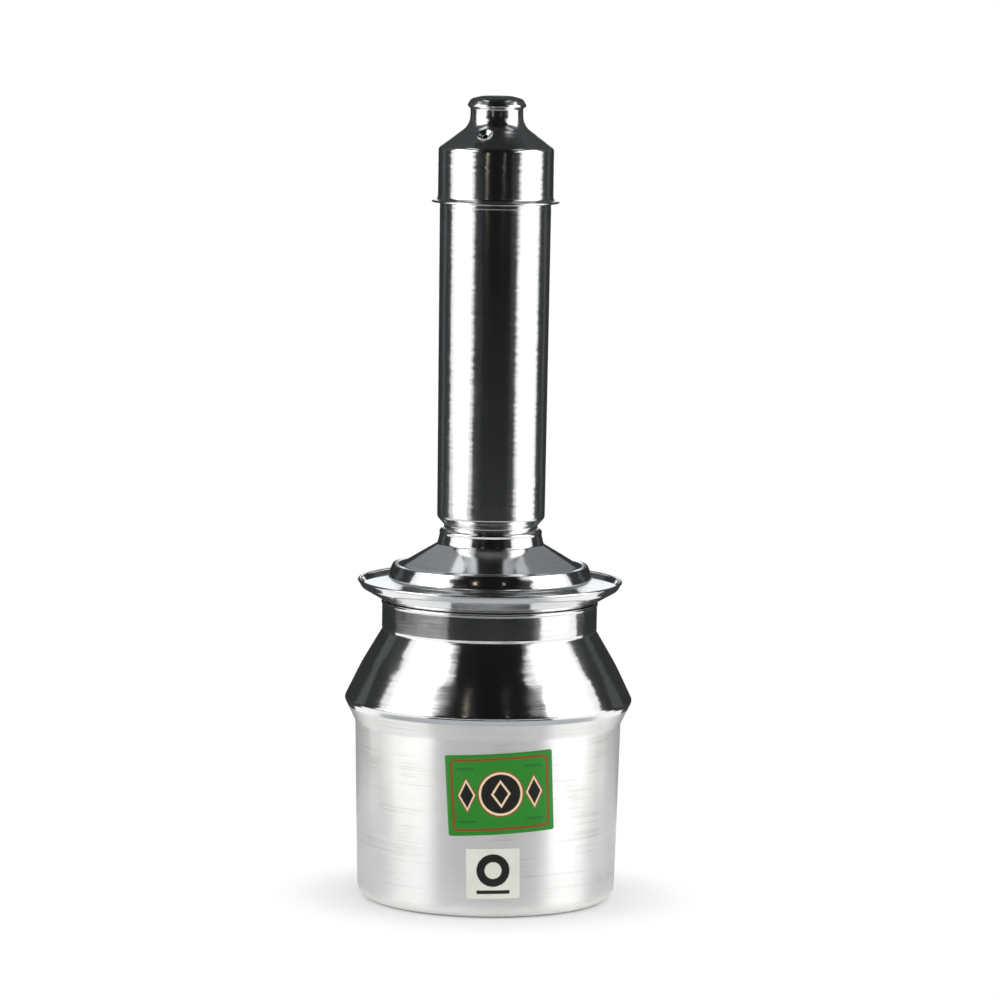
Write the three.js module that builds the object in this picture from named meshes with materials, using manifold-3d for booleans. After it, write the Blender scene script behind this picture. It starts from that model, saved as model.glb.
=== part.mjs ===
// Puttu maker: a spun aluminium steamer for cylinders of rice flour.
// A water pot carries a tall steaming tube on a brimmed funnel; a loose perforated plate holds the
// flour inside the tube, and a cap lid with a spun knob closes the top.
// Millimetres, +Z up, origin at the centre of the pot's flat base. The front of the object faces -Y.

import * as THREE from 'three';
import { mergeVertices } from 'three/addons/utils/BufferGeometryUtils.js';
import Module from 'manifold-3d';

// Water pot
const POT_WALL = 1.2;
const POT_BASE_RADIUS = 77.4;
const POT_BASE_BEND = 8;
const POT_BODY_HEIGHT = 106.8;
const POT_BODY_FLARE = 2.5;
const POT_TUCK_BEND = 5;
const POT_KNUCKLE_OVERHANG = 6.75;
const POT_KNUCKLE_RISE = 13.7;
const POT_KNUCKLE_BEND = 3.2;
const POT_SHOULDER_HEIGHT = 41.5;
const POT_SHOULDER_CROWN = 1;
const POT_SHOULDER_BEND = 90;
const POT_NECK_RADIUS = 64.6;
const POT_NECK_HEIGHT = 15.6;
const POT_NECK_BEND = 2.4;
const POT_RIM_BEAD = 1.1;

// Brimmed funnel that carries the tube
const FUNNEL_WALL = 1.1;
const PLUG_CLEARANCE = 0.4;
const PLUG_DEPTH = 9;
const VALLEY_WIDTH = 4.2;
const VALLEY_BEND = 1.8;
const BRIM_OVERHANG = 13.2;
const BRIM_SLOPE = THREE.MathUtils.degToRad(30);
const BRIM_LIP_RISE = 2;
const BRIM_BEND = 1.9;
const BRIM_BEAD = 0.8;
const BULGE_SEAT_RISE = 6.5;
const BULGE_SEAT_BEND = 2.5;
const BULGE_RISE = 6.8;
const BULGE_BEND = 4;
const BULGE_HEIGHT = 7.7;
const BULGE_TAPER = 2;
const BULGE_TOP_BEND = 1.9;
const SHELF_WIDTH = 6;
const SHELF_RISE = 0.3;
const SHELF_BEND = 6;
const CONE_SLOPE = THREE.MathUtils.degToRad(31.5);
const CONE_BEND = 2;
const COLLAR_HEIGHT = 9.1;
const COLLAR_FLARE = 2.4;
const COLLAR_CROWN = 0.5;
const COLLAR_BEND = 12;

// Steaming tube
const TUBE_WALL = 0.9;
const TUBE_NECK_RADIUS = 28.1;
const TUBE_NECK_HEIGHT = 2.2;
const TUBE_SHOULDER_WIDTH = 4.2;
const TUBE_SHOULDER_HEIGHT = 4.7;
const TUBE_SHOULDER_BEND = 2.6;
const TUBE_NECK_BEND = 1.6;
const TUBE_LENGTH = 220;
const TUBE_FLARE = 1.1;
const SLEEVE_LENGTH = 6;

// Perforated plate
const PLATE_THICKNESS = 1.5;
const PLATE_EDGE_CLEARANCE = 1.2;
const PLATE_HOLE_RADIUS = 1.75;
const PLATE_RING_PITCH = 8;
const PLATE_HOLES_PER_RING = 6;
const PLATE_RIM_MARGIN = 3.2;

// Cap lid
const LID_WALL = 0.7;
const LID_CLEARANCE = 0.4;
const LID_SKIRT_HEIGHT = 30.2;
const LID_FLANGE_WIDTH = 2.5;
const LID_FLANGE_DROP = 1.1;
const LID_FLANGE_BEND = 2.4;
const LID_FLANGE_BEAD = 0.7;
const LID_SHOULDER_BEND = 3.4;
const LID_CONE_SLOPE = THREE.MathUtils.degToRad(36.4);
const KNOB_NECK_RADIUS = 15.8;
const KNOB_FILLET = 11;
const KNOB_NECK_HEIGHT = 9.2;
const KNOB_LIP_WIDTH = 2.1;
const KNOB_LIP_RISE = 2.1;
const KNOB_LIP_BEND = 1.3;
const KNOB_DOME_RISE = 4.1;
const KNOB_DOME_INSET = 2.4;
const KNOB_TOP_BEND = 4;
const KNOB_CROWN = 1.7;
const KNOB_FLAT_RADIUS = 8.5;
const KNOB_FLAT_BEND = 12;
const VENT_ANGLE = THREE.MathUtils.degToRad(-18);
const VENT_DISTANCE = 14.9;
const VENT_HOLE_RADIUS = 1.8;
const VENT_DIMPLE_RADIUS = 4.8;
const VENT_DEPTH = 1.5;
const VENT_EDGE = 0.6;

// Gap that is left between two pieces that rest on each other
const SEAT_GAP = 0.3;

// Fineness of the facets
const SPIN_SIDES = 36;
const BEND_STEP = THREE.MathUtils.degToRad(45);
const BEAD_STEP = THREE.MathUtils.degToRad(60);
const HOLE_SIDES = 8;
const VENT_SIDES = 16;

// Levels and radii that mating pieces share
const potBodyTopRadius = POT_BASE_RADIUS + POT_BODY_FLARE;
const potKnuckleRadius = potBodyTopRadius + POT_KNUCKLE_OVERHANG;
const potKnuckleLevel = POT_BODY_HEIGHT + POT_KNUCKLE_RISE;
const potNeckLevel = potKnuckleLevel + POT_SHOULDER_HEIGHT;
const potRimLevel = potNeckLevel + POT_NECK_HEIGHT;
const potRimMiddle = POT_NECK_RADIUS - POT_WALL / 2;
const potRimBeadLevel = potRimLevel + beadOffset(POT_RIM_BEAD, POT_WALL);

const plugFaceRadius = potRimMiddle - POT_RIM_BEAD - PLUG_CLEARANCE - FUNNEL_WALL;
const brimRadius = POT_NECK_RADIUS + BRIM_OVERHANG;
const bulgeTopRadius = plugFaceRadius - BULGE_TAPER;
const coneBaseRadius = bulgeTopRadius - SHELF_WIDTH;
const collarLipRadius = TUBE_NECK_RADIUS + SEAT_GAP + FUNNEL_WALL;
const collarBaseRadius = collarLipRadius + COLLAR_FLARE;

const brimCornerLevel = brimCornerOverBead();
const bulgeSeatLevel = brimCornerLevel + BULGE_SEAT_RISE;
const bulgeLevel = bulgeSeatLevel + BULGE_RISE;
const shelfLevel = bulgeLevel + BULGE_HEIGHT;
const coneBaseLevel = shelfLevel + SHELF_RISE;
const collarLevel = coneBaseLevel + (coneBaseRadius - collarBaseRadius) * Math.tan(CONE_SLOPE);
const collarLipLevel = collarLevel + COLLAR_HEIGHT;

const tubeNeckLevel = collarLipLevel + TUBE_NECK_HEIGHT;
const tubeShoulderLevel = tubeNeckLevel + TUBE_SHOULDER_HEIGHT;
const tubeTopLevel = tubeShoulderLevel + TUBE_LENGTH;
const tubeBottomRadius = TUBE_NECK_RADIUS + TUBE_SHOULDER_WIDTH;
const tubeTopRadius = tubeBottomRadius + TUBE_FLARE;

const lidRadius = tubeTopRadius + LID_CLEARANCE + LID_WALL;
const lidShoulderLevel = lidShoulderOverTube();
const lidConeHeight = (lidRadius - KNOB_NECK_RADIUS) * Math.tan(LID_CONE_SLOPE);

// Distance from the end of a sheet to the middle of the round bead that closes it
function beadOffset(bead, wall) {
  return Math.sqrt(bead * bead - (wall * wall) / 4);
}

// The underside of the sloping brim rests on the pot's rim bead
function brimCornerOverBead() {
  const reach = POT_RIM_BEAD + SEAT_GAP + FUNNEL_WALL;
  const inset = potRimMiddle - plugFaceRadius;
  return potRimBeadLevel + (reach - inset * Math.sin(BRIM_SLOPE)) / Math.cos(BRIM_SLOPE);
}

// The inside of the lid's shoulder bend rests on the outer edge of the tube's top
function lidShoulderOverTube() {
  const bend = LID_SHOULDER_BEND - LID_WALL;
  const middleRadius = lidRadius - LID_SHOULDER_BEND;
  const reach = Math.max(tubeTopRadius - middleRadius, 0);
  const rise = Math.sqrt(Math.max((bend - SEAT_GAP) ** 2 - reach * reach, 0));
  const tangent = LID_SHOULDER_BEND * Math.tan((Math.PI / 2 - LID_CONE_SLOPE) / 2);
  return tubeTopLevel - rise + tangent;
}

// Bent line through corners [radius, level, bend radius].
// Each point keeps the direction square to the sheet, towards its outer face.
function bentLine(corners) {
  const points = corners.map(([radius, level]) => new THREE.Vector2(radius, level));
  const directionFrom = (index) => points[index + 1].clone().sub(points[index]).normalize();
  const last = points.length - 1;
  const line = [];
  const addPoint = (point, direction, stretch = 1) => {
    const outward = new THREE.Vector2(direction.y, -direction.x).multiplyScalar(stretch);
    line.push({ point, outward, direction });
  };
  addPoint(points[0], directionFrom(0));
  for (let index = 1; index < last; index += 1) {
    const before = directionFrom(index - 1);
    const after = directionFrom(index);
    const turn = Math.atan2(before.cross(after), before.dot(after));
    const bend = corners[index][2] ?? 0;
    if (bend === 0) {
      const middle = before.clone().rotateAround(new THREE.Vector2(), turn / 2);
      addPoint(points[index], middle, 1 / Math.cos(turn / 2));
      continue;
    }
    const side = Math.sign(turn);
    const tangent = bend * Math.tan(Math.abs(turn) / 2);
    const start = points[index].clone().addScaledVector(before, -tangent);
    const toCentre = new THREE.Vector2(-before.y, before.x).multiplyScalar(side * bend);
    const centre = start.clone().add(toCentre);
    const steps = Math.max(1, Math.ceil(Math.abs(turn) / BEND_STEP));
    for (let step = 0; step <= steps; step += 1) {
      const angle = (turn * step) / steps;
      const direction = before.clone().rotateAround(new THREE.Vector2(), angle);
      addPoint(start.clone().rotateAround(centre, angle), direction);
    }
  }
  addPoint(points[last], directionFrom(last - 1));
  return line;
}

// Round bead that closes the end of a sheet, from one face round to the other
function edgeBead(from, to, outwardEnd, bead) {
  if (bead === 0) return [];
  const wall = from.distanceTo(to);
  const centre = from.clone().add(to).multiplyScalar(0.5);
  centre.addScaledVector(outwardEnd, beadOffset(bead, wall));
  const sweep = 2 * Math.PI - 2 * Math.asin(wall / 2 / bead);
  const steps = Math.ceil(sweep / BEAD_STEP);
  const arc = [];
  for (let step = 1; step < steps; step += 1) {
    arc.push(from.clone().rotateAround(centre, (sweep * step) / steps));
  }
  return arc;
}

// Closed section of a sheet of even wall whose outer face follows the corners
function sheetSection(corners, wall, startBead, endBead) {
  const line = bentLine(corners);
  const first = line[0];
  const last = line[line.length - 1];
  const outer = line.map(({ point }) => point);
  const inner = line.map(({ point, outward }) => point.clone().addScaledVector(outward, -wall));
  const innerBack = [...inner].reverse();
  const startEdge = edgeBead(inner[0], outer[0], first.direction.clone().negate(), startBead);
  const endEdge = edgeBead(outer[outer.length - 1], innerBack[0], last.direction, endBead);
  if (first.point.x === 0) return [...outer, ...endEdge, ...innerBack];
  if (last.point.x === 0) return [...innerBack, ...startEdge, ...outer];
  return [...outer, ...endEdge, ...innerBack, ...startEdge, outer[0].clone()];
}

// Spin a section about the upright axis
function spin(section) {
  const geometry = new THREE.LatheGeometry(section, SPIN_SIDES);
  geometry.rotateX(Math.PI / 2);
  return geometry;
}

const wasm = await Module();
wasm.setup();

// Closed geometry to a solid that can be cut and joined
function toSolid(geometry) {
  const bare = geometry.clone();
  bare.deleteAttribute('normal');
  bare.deleteAttribute('uv');
  const merged = mergeVertices(bare, 1e-4);
  const index = merged.index.array;
  const corners = [];
  for (let at = 0; at < index.length; at += 3) {
    const [a, b, c] = [index[at], index[at + 1], index[at + 2]];
    if (a !== b && b !== c && c !== a) corners.push(a, b, c);
  }
  return new wasm.Manifold(new wasm.Mesh({
    numProp: 3,
    vertProperties: new Float32Array(merged.attributes.position.array),
    triVerts: new Uint32Array(corners),
  }));
}

// Cut or joined solid back to a geometry
function toGeometry(solid) {
  const mesh = solid.getMesh();
  const geometry = new THREE.BufferGeometry();
  geometry.setAttribute('position', new THREE.BufferAttribute(mesh.vertProperties, 3));
  geometry.setIndex(new THREE.BufferAttribute(mesh.triVerts, 1));
  geometry.computeVertexNormals();
  return geometry;
}

// Named piece of bare aluminium
function aluminiumPiece(name, geometry, colour, roughness) {
  const material = new THREE.MeshStandardMaterial({ color: colour, roughness, metalness: 1 });
  const piece = new THREE.Mesh(geometry, material);
  piece.name = name;
  return piece;
}

// Pot: flat base, slightly flared body, knuckle wider than the body, crowned shoulder, upright neck
function makePot() {
  const shoulderMiddleRadius = (potKnuckleRadius + POT_NECK_RADIUS) / 2 + POT_SHOULDER_CROWN;
  const shoulderMiddleLevel = potKnuckleLevel + POT_SHOULDER_HEIGHT / 2;
  const section = sheetSection([
    [0, 0],
    [POT_BASE_RADIUS, 0, POT_BASE_BEND],
    [potBodyTopRadius, POT_BODY_HEIGHT, POT_TUCK_BEND],
    [potKnuckleRadius, potKnuckleLevel, POT_KNUCKLE_BEND],
    [shoulderMiddleRadius, shoulderMiddleLevel, POT_SHOULDER_BEND],
    [POT_NECK_RADIUS, potNeckLevel, POT_NECK_BEND],
    [POT_NECK_RADIUS, potRimLevel],
  ], POT_WALL, 0, POT_RIM_BEAD);
  return aluminiumPiece('pot', spin(section), 0xc9ccce, 0.34);
}

// Funnel: brim over the pot's rim, valley that plugs the mouth, bulge, cone and collar
function makeBaseFunnel() {
  const brimRun = brimRadius - plugFaceRadius;
  const brimLevel = brimCornerLevel + brimRun * Math.tan(BRIM_SLOPE);
  const valleyRadius = plugFaceRadius - VALLEY_WIDTH;
  const valleyLevel = potRimLevel - PLUG_DEPTH;
  const collarMiddleRadius = collarLipRadius + COLLAR_FLARE / 2 + COLLAR_CROWN;
  const section = sheetSection([
    [brimRadius, brimLevel + BRIM_LIP_RISE],
    [brimRadius - BRIM_LIP_RISE, brimLevel - BRIM_LIP_RISE * Math.tan(BRIM_SLOPE), BRIM_BEND],
    [plugFaceRadius, brimCornerLevel, BRIM_BEND],
    [plugFaceRadius, valleyLevel, VALLEY_BEND],
    [valleyRadius, valleyLevel, VALLEY_BEND],
    [valleyRadius, bulgeSeatLevel, BULGE_SEAT_BEND],
    [plugFaceRadius, bulgeLevel, BULGE_BEND],
    [bulgeTopRadius, shelfLevel, BULGE_TOP_BEND],
    [coneBaseRadius, coneBaseLevel, SHELF_BEND],
    [collarBaseRadius, collarLevel, CONE_BEND],
    [collarMiddleRadius, collarLevel + COLLAR_HEIGHT / 2, COLLAR_BEND],
    [collarLipRadius, collarLipLevel],
  ], FUNNEL_WALL, BRIM_BEAD, 0);
  return aluminiumPiece('base_funnel', spin(section), 0xd3d6d8, 0.12);
}

// Tube: sleeve swaged inside the collar, inward shoulder that is the plate's ledge, tall flared wall
function makeSteamTube() {
  const sleeveSpread = (COLLAR_FLARE * SLEEVE_LENGTH) / COLLAR_HEIGHT;
  const section = sheetSection([
    [TUBE_NECK_RADIUS + sleeveSpread, collarLipLevel - SLEEVE_LENGTH],
    [TUBE_NECK_RADIUS, collarLipLevel, TUBE_NECK_BEND],
    [TUBE_NECK_RADIUS, tubeNeckLevel, TUBE_NECK_BEND],
    [tubeBottomRadius, tubeShoulderLevel, TUBE_SHOULDER_BEND],
    [tubeTopRadius, tubeTopLevel],
  ], TUBE_WALL, 0, 0);
  return aluminiumPiece('steam_tube', spin(section), 0xd6d9db, 0.1);
}

// Plate: flat disc punched with rings of round holes, loose on the tube's ledge
function makePerforatedPlate() {
  const plateRadius = tubeBottomRadius - TUBE_WALL - PLATE_EDGE_CLEARANCE;
  const outline = new THREE.Shape(circlePoints(0, 0, plateRadius, SPIN_SIDES));
  const addHole = (x, y) => {
    outline.holes.push(new THREE.Path(circlePoints(x, y, PLATE_HOLE_RADIUS, HOLE_SIDES)));
  };
  addHole(0, 0);
  const rings = Math.floor((plateRadius - PLATE_RIM_MARGIN - PLATE_HOLE_RADIUS) / PLATE_RING_PITCH);
  for (let ring = 1; ring <= rings; ring += 1) {
    const holes = ring * PLATE_HOLES_PER_RING;
    for (let hole = 0; hole < holes; hole += 1) {
      const angle = (2 * Math.PI * hole) / holes;
      const reach = ring * PLATE_RING_PITCH;
      addHole(reach * Math.cos(angle), reach * Math.sin(angle));
    }
  }
  const geometry = new THREE.ExtrudeGeometry(outline, {
    depth: PLATE_THICKNESS,
    bevelEnabled: false,
  });
  const plate = aluminiumPiece('perforated_plate', geometry, 0xc4c7c9, 0.3);
  plate.position.z = ledgeLevelAt(plateRadius) + SEAT_GAP;
  return plate;
}

// Corners of a round outline
function circlePoints(x, y, radius, sides) {
  const points = [];
  for (let side = 0; side < sides; side += 1) {
    const angle = (2 * Math.PI * side) / sides;
    points.push(new THREE.Vector2(x + radius * Math.cos(angle), y + radius * Math.sin(angle)));
  }
  return points;
}

// Level of the tube's inner shoulder at a radius
function ledgeLevelAt(radius) {
  const lean = Math.atan2(TUBE_SHOULDER_WIDTH, TUBE_SHOULDER_HEIGHT);
  const innerNeckRadius = TUBE_NECK_RADIUS - TUBE_WALL / Math.cos(lean);
  return tubeNeckLevel + (radius - innerNeckRadius) / Math.tan(lean);
}

// Lid: flanged skirt round the tube, cone with one pressed steam vent, hollow spun knob
function makeLid() {
  const flangeLevel = lidShoulderLevel - LID_SKIRT_HEIGHT;
  const neckLevel = lidShoulderLevel + lidConeHeight;
  const lipNeckLevel = neckLevel + KNOB_NECK_HEIGHT;
  const lipLevel = lipNeckLevel + KNOB_LIP_RISE;
  const domeLevel = lipLevel + KNOB_DOME_RISE;
  const lipRadius = KNOB_NECK_RADIUS + KNOB_LIP_WIDTH;
  const section = sheetSection([
    [lidRadius + LID_FLANGE_WIDTH, flangeLevel - LID_FLANGE_DROP],
    [lidRadius, flangeLevel, LID_FLANGE_BEND],
    [lidRadius, lidShoulderLevel, LID_SHOULDER_BEND],
    [KNOB_NECK_RADIUS, neckLevel, KNOB_FILLET],
    [KNOB_NECK_RADIUS, lipNeckLevel, KNOB_LIP_BEND],
    [lipRadius, lipLevel, KNOB_LIP_BEND],
    [lipRadius - KNOB_DOME_INSET, domeLevel, KNOB_TOP_BEND],
    [KNOB_FLAT_RADIUS, domeLevel + KNOB_CROWN, KNOB_FLAT_BEND],
    [0, domeLevel + KNOB_CROWN],
  ], LID_WALL, LID_FLANGE_BEAD, 0);
  const vented = pressVent(toSolid(spin(section)));
  return aluminiumPiece('lid', toGeometry(vented), 0xd6d9db, 0.1);
}

// Steam vent pressed into the lid's cone from outside: a conical dimple in the sheet, pierced in the middle
function pressVent(lid) {
  const sheetOverlap = LID_WALL / 4;
  const flare = (VENT_DIMPLE_RADIUS - VENT_HOLE_RADIUS) / VENT_DEPTH;
  const pushedIn = new THREE.CylinderGeometry(
    VENT_DIMPLE_RADIUS,
    VENT_HOLE_RADIUS + VENT_EDGE,
    VENT_DEPTH + sheetOverlap,
    VENT_SIDES,
  );
  pushedIn.translate(0, (sheetOverlap - VENT_DEPTH) / 2 - LID_WALL, 0);
  const dimple = new THREE.CylinderGeometry(
    VENT_DIMPLE_RADIUS + flare * LID_WALL,
    VENT_HOLE_RADIUS,
    VENT_DEPTH + LID_WALL,
    VENT_SIDES,
  );
  dimple.translate(0, (LID_WALL - VENT_DEPTH) / 2, 0);
  const holeDepth = 3 * (VENT_DEPTH + LID_WALL);
  const hole = new THREE.CylinderGeometry(VENT_HOLE_RADIUS, VENT_HOLE_RADIUS, holeDepth, VENT_SIDES);
  const place = ventPlace();
  const [solidIn, solidDimple, solidHole] = [pushedIn, dimple, hole].map(
    (shape) => toSolid(shape.applyMatrix4(place)),
  );
  return lid.add(solidIn).subtract(solidDimple).subtract(solidHole);
}

// Frame on the outer face of the lid's cone whose Y axis is square to the sheet
function ventPlace() {
  const radius = lidRadius - VENT_DISTANCE * Math.cos(LID_CONE_SLOPE);
  const level = lidShoulderLevel + VENT_DISTANCE * Math.sin(LID_CONE_SLOPE);
  const tilt = new THREE.Matrix4().makeRotationX(Math.PI / 2 + LID_CONE_SLOPE);
  const onCone = new THREE.Matrix4().makeTranslation(0, -radius, level);
  const round = new THREE.Matrix4().makeRotationZ(VENT_ANGLE);
  return round.multiply(onCone).multiply(tilt);
}

const steamColumn = new THREE.Group();
steamColumn.add(makeBaseFunnel(), makeSteamTube(), makePerforatedPlate(), makeLid());

const puttuMaker = new THREE.Group();
puttuMaker.add(makePot(), steamColumn);

export default puttuMaker;
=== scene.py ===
import math

import bmesh
import bpy
from mathutils import Matrix, Vector


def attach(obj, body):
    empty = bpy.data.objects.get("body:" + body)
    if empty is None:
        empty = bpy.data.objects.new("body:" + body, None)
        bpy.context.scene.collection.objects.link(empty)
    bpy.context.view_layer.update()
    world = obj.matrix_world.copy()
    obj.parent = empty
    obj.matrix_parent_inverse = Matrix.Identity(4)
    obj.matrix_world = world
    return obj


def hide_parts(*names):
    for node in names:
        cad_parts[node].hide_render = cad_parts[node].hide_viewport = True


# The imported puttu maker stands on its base: pot, funnel with its steaming tube, loose plate and lid.
# Everything below is in metres, turned about the same upright axis.
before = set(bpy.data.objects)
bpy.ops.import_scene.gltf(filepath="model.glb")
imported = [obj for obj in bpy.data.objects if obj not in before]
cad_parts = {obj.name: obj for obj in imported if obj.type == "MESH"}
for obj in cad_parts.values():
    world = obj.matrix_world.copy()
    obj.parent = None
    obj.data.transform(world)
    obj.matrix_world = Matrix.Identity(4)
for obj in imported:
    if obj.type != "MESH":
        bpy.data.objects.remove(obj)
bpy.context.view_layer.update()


# Water pot: one disc of aluminium sheet spun over a former into base, flared body, knuckle, shoulder
# and neck. The body is left satin by the scouring pad, the shoulder and neck are buffed bright, and
# the rim is rolled. Outlines here and below run along the outer face as (radius, level, bend radius).
pot_wall = 0.0012
pot_rim_bead = 0.0011
pot_foot_radius = 0.0774
pot_tuck_radius = 0.0799
pot_tuck_level = 0.1068
pot_outline = [
    (0.0, 0.0008),
    (0.0575, 0.0008, 0.002),
    (0.0600, 0.0, 0.002),
    (pot_foot_radius, 0.0, 0.008),
    (pot_tuck_radius, pot_tuck_level, 0.005),
    (0.08665, 0.1205, 0.0032),
    (0.07663, 0.14125, 0.090),
    (0.0650, 0.1610, 0.0012),
    (0.06435, 0.1620, 0.0009),
    (0.0646, 0.1636, 0.0016),
    (0.0646, 0.1776),
]
pot_satin_top = 0.1172
pot_sides = 192


def bent_line(corners):
    """Points along the face of a sheet bent at (radius, level, bend) corners, each with the way it runs."""
    arc_step = math.radians(7.0)
    run_step = 0.004
    hold = 0.0003
    places = [Vector(corner[:2]) for corner in corners]
    line = [(places[0], (places[1] - places[0]).normalized())]
    for number in range(1, len(places) - 1):
        place = places[number]
        bend = corners[number][2]
        before = (place - places[number - 1]).normalized()
        after = (places[number + 1] - place).normalized()
        turn = math.atan2(before.x * after.y - before.y * after.x, before.dot(after))
        side = math.copysign(bend, turn)
        start = place - before * bend * math.tan(abs(turn) / 2)
        centre = start + Vector((-before.y, before.x)) * side
        steps = max(2, math.ceil(abs(turn) / arc_step), math.ceil(bend * abs(turn) / run_step))
        for step in range(steps + 1):
            heading = Matrix.Rotation(turn * step / steps, 2) @ before
            line.append((centre - Vector((-heading.y, heading.x)) * side, heading))
    line.append((places[-1], (places[-1] - places[-2]).normalized()))
    filled = [line[0]]
    for point, heading in line[1:]:
        last, last_heading = filled[-1]
        length = (point - last).length
        if heading.dot(last_heading) > 0.99999 and length > 3 * hold:
            pieces = math.ceil(length / run_step)
            stations = [hold] + [length * part / pieces for part in range(1, pieces)] + [length - hold]
            filled += [(last + heading * station, heading) for station in stations]
        filled.append((point, heading))
    return filled


def sheet_edge(point, heading, across, wall, bead):
    """The rounded end of a sheet, or a bead rolled on it, from one face to the other."""
    steps = 14
    radius = max(bead, wall / 2)
    reach = math.sqrt(radius ** 2 - (wall / 2) ** 2)
    centre = point + across * wall / 2 + heading * reach
    start = -math.atan2(reach, wall / 2)
    angles = [start + (math.pi - 2 * start) * step / steps for step in range(1, steps)]
    return [centre + (heading * math.sin(angle) - across * math.cos(angle)) * radius for angle in angles]


def sheet_section(corners, wall, first_bead=0.0, last_bead=0.0):
    """Loop round a spun sheet by outer face, edge, inner face and edge, each point with an inside mark."""
    line = bent_line(corners)
    outer = [(point, 0.0) for point, heading in line]
    inner = [(point + Vector((-heading.y, heading.x)) * wall, 1.0) for point, heading in line]
    section = list(outer)
    if line[-1][0].x > 0:
        point, heading = line[-1]
        across = Vector((-heading.y, heading.x))
        section += [(edge, 0.0) for edge in sheet_edge(point, heading, across, wall, last_bead)]
    section += reversed(inner)
    if line[0][0].x > 0:
        point, heading = line[0]
        across = Vector((heading.y, -heading.x))
        start = inner[0][0]
        section += [(edge, 0.0) for edge in sheet_edge(start, -heading, across, wall, first_bead)]
        section.append(section[0])
    return section


def add_node(tree, kind, inputs=None, **settings):
    """A node with its settings made and each of its inputs linked to a socket or given a value."""
    node = tree.nodes.new(kind)
    for setting, value in settings.items():
        setattr(node, setting, value)
    for socket, value in (inputs or {}).items():
        if isinstance(value, bpy.types.NodeSocket):
            tree.links.new(value, node.inputs[socket])
        else:
            node.inputs[socket].default_value = value
    return node


def maths(tree, operation, *values):
    """The result of one sum on sockets or plain numbers."""
    return add_node(tree, "ShaderNodeMath", dict(enumerate(values)), operation=operation).outputs[0]


def spinning_lathe():
    """Node tree that turns a sheet's section round the upright axis, as the spinning lathe does."""
    tree = bpy.data.node_groups.new("Spinning lathe", "GeometryNodeTree")
    sockets = tree.interface
    sockets.new_socket("Section", in_out="INPUT", socket_type="NodeSocketGeometry")
    sockets.new_socket("Sides", in_out="INPUT", socket_type="NodeSocketInt")
    sockets.new_socket("Outside finish", in_out="INPUT", socket_type="NodeSocketMaterial")
    sockets.new_socket("Inside finish", in_out="INPUT", socket_type="NodeSocketMaterial")
    sockets.new_socket("Body finish", in_out="INPUT", socket_type="NodeSocketMaterial")
    sockets.new_socket("Spun sheet", in_out="OUTPUT", socket_type="NodeSocketGeometry")
    given = tree.nodes.new("NodeGroupInput").outputs
    section_size = add_node(tree, "GeometryNodeAttributeDomainSize", {"Geometry": given["Section"]})
    count = section_size.outputs["Point Count"]
    columns = maths(tree, "ADD", given["Sides"], 1)
    blank = {"Vertices X": columns, "Vertices Y": count}
    grid = add_node(tree, "GeometryNodeMeshGrid", blank).outputs["Mesh"]
    index = tree.nodes.new("GeometryNodeInputIndex").outputs[0]
    row = maths(tree, "MODULO", index, count)
    column = maths(tree, "FLOOR", maths(tree, "DIVIDE", index, count))
    place = tree.nodes.new("GeometryNodeInputPosition").outputs[0]
    sampled = {"Geometry": given["Section"], "Value": place, "Index": row}
    station = add_node(tree, "GeometryNodeSampleIndex", sampled, data_type="FLOAT_VECTOR").outputs[0]
    parts = add_node(tree, "ShaderNodeSeparateXYZ", {0: station}).outputs
    angle = maths(tree, "MULTIPLY", column, maths(tree, "DIVIDE", math.tau, given["Sides"]))
    across = maths(tree, "MULTIPLY", parts["X"], maths(tree, "SINE", angle))
    depth = maths(tree, "MULTIPLY", parts["X"], maths(tree, "COSINE", angle))
    depth = maths(tree, "MULTIPLY", depth, -1.0)
    turned = add_node(tree, "ShaderNodeCombineXYZ", {"X": across, "Y": depth, "Z": parts["Z"]}).outputs[0]
    spun = add_node(tree, "GeometryNodeSetPosition", {"Geometry": grid, "Position": turned}).outputs[0]
    for mark in ("inside", "satin"):
        read = add_node(tree, "GeometryNodeInputNamedAttribute", {"Name": mark}, data_type="FLOAT")
        sampled = {"Geometry": given["Section"], "Value": read.outputs[0], "Index": row}
        value = add_node(tree, "GeometryNodeSampleIndex", sampled, data_type="FLOAT").outputs[0]
        stored = {"Geometry": spun, "Name": mark, "Value": value}
        spun = add_node(tree, "GeometryNodeStoreNamedAttribute", stored, data_type="FLOAT").outputs[0]
    seam = {"Geometry": spun, "Distance": 1e-6}
    spun = add_node(tree, "GeometryNodeMergeByDistance", seam).outputs[0]
    spun = add_node(tree, "GeometryNodeSetShadeSmooth", {"Geometry": spun}).outputs[0]
    spun = add_node(tree, "GeometryNodeRealizeInstances", {"Geometry": spun}).outputs[0]
    finish = {"Geometry": spun, "Material": given["Outside finish"]}
    spun = add_node(tree, "GeometryNodeSetMaterial", finish).outputs[0]
    for mark, finish in (("inside", "Inside finish"), ("satin", "Body finish")):
        read = add_node(tree, "GeometryNodeInputNamedAttribute", {"Name": mark}, data_type="FLOAT")
        marked = maths(tree, "GREATER_THAN", read.outputs[0], 0.5)
        chosen = {"Geometry": spun, "Selection": marked, "Material": given[finish]}
        spun = add_node(tree, "GeometryNodeSetMaterial", chosen).outputs[0]
    add_node(tree, "NodeGroupOutput", {0: spun})
    return tree


lathe = spinning_lathe()


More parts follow.
